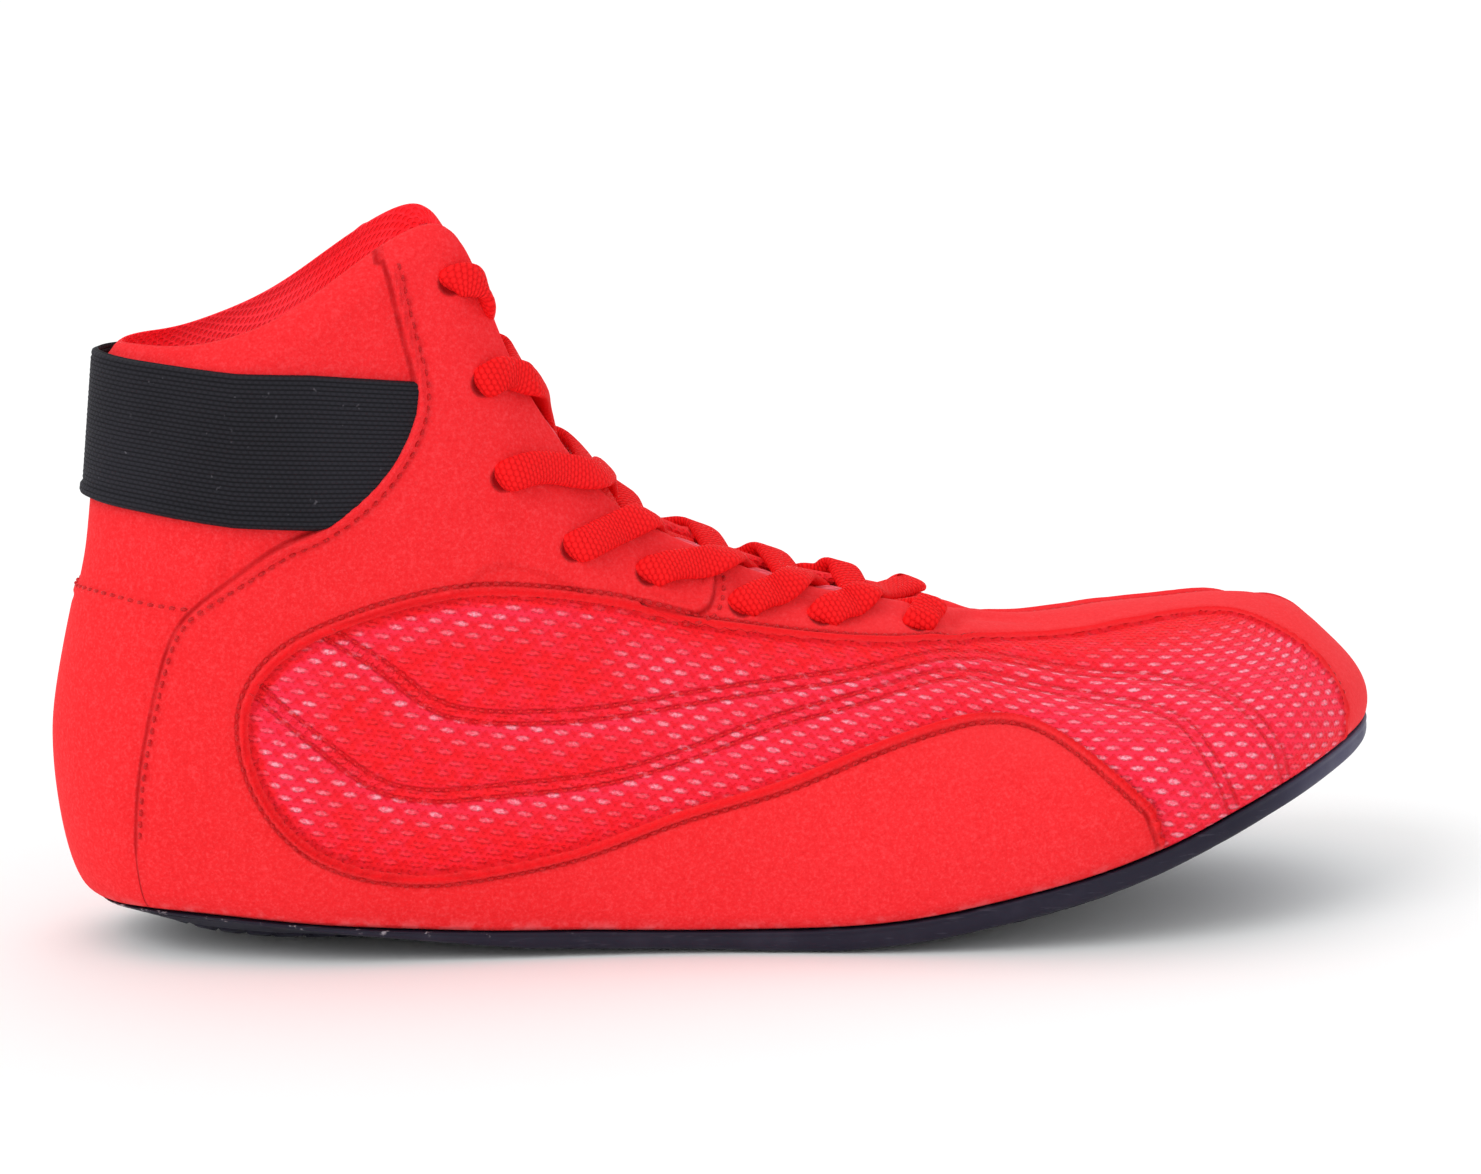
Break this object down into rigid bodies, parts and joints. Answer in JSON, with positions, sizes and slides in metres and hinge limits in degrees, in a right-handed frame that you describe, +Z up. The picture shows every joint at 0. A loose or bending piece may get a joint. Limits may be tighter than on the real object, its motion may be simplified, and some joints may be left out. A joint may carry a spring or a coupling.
{
  "type": "wrestling shoe",
  "caption": "Ankle-high laced wrestling shoe with a thin cupped rubber sole, open throat over a padded tongue and an elastic band round the heel.",
  "frame": {"origin": "centre of the bounding box on the plane that the tread rests on", "axes": "+X towards the toe, +Y towards the inner side of the foot, +Z up"},
  "size_m": [0.2854, 0.0971, 0.1504],
  "materials": {
    "black_rubber": "satin, moulded",
    "red_suede": "napped, matt",
    "red_liner": "knitted lining",
    "red_mesh": "open mesh",
    "black_elastic": "ribbed woven elastic",
    "red_lace": "woven tube",
    "striped_ribbon": "woven ribbon"
  },
  "bodies": {
    "root": {"outsole": "black_rubber", "upper": "red_suede", "insole": "red_liner", "tongue": "red_mesh", "ankle_strap": "black_elastic", "lace_cross_1": "red_lace", "lace_cross_2": "red_lace", "lace_cross_3": "red_lace", "lace_cross_4": "red_lace", "lace_cross_5": "red_lace", "lace_cross_6": "red_lace", "lace_cross_7": "red_lace", "lace_loop": "striped_ribbon"}
  },
  "joints": []
}
